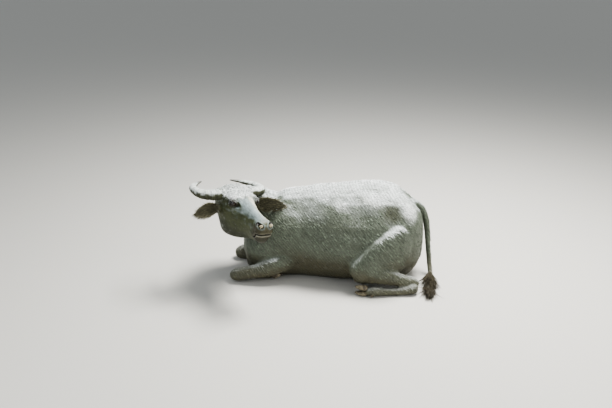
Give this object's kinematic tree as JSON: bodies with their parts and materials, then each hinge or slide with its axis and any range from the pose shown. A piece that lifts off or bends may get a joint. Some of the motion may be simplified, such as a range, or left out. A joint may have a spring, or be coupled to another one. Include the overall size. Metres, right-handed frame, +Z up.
{
  "type": "water buffalo",
  "caption": "Life-size still model of a swamp water buffalo lying at rest, head turned to its left, swept-back horns, knotted nose rope.",
  "frame": {"origin": "on the floor under the middle of the animal's box", "axes": "+Z up, +X from the head end to the tail, +Y towards the animal's right side"},
  "size_m": [1.7568, 1.0246, 0.7491],
  "materials": {
    "hide": "grey hide under a coat of drying grey mud, sparse short hair, half matt with wet patches",
    "face": "wet olive grey hide with muddy hair on the brow",
    "ear": "dark skin with long coarse hair inside",
    "horn": "ringed horn with mud dried on its upper side",
    "eye": "wet dark brown eye",
    "hoof": "worn dark horn with mud",
    "hair": "coarse dark hair in muddy locks",
    "rope": "dirty twisted rope"
  },
  "bodies": {
    "root": {"ear_left": "ear", "ear_right": "ear", "eye_left": "eye", "eye_right": "eye", "fore_claw_left_inner": "hoof", "fore_claw_left_outer": "hoof", "fore_claw_right_inner": "hoof", "fore_claw_right_outer": "hoof", "foreleg_left_foot": "hide", "foreleg_left_forearm": "hide", "foreleg_right_foot": "hide", "foreleg_right_forearm": "hide", "head": "face", "hind_claw_left_inner": "hoof", "hind_claw_left_outer": "hoof", "hind_claw_right_inner": "hoof", "hind_claw_right_outer": "hoof", "hindleg_left_foot": "hide", "hindleg_left_shank": "hide", "hindleg_left_thigh": "hide", "hindleg_right_foot": "hide", "hindleg_right_shank": "hide", "hindleg_right_thigh": "hide", "horn_left": "horn", "horn_right": "horn", "neck": "hide", "nose_rope": "rope", "tail_dock": "hide", "tail_switch": "hair", "torso": "hide"}
  },
  "joints": []
}
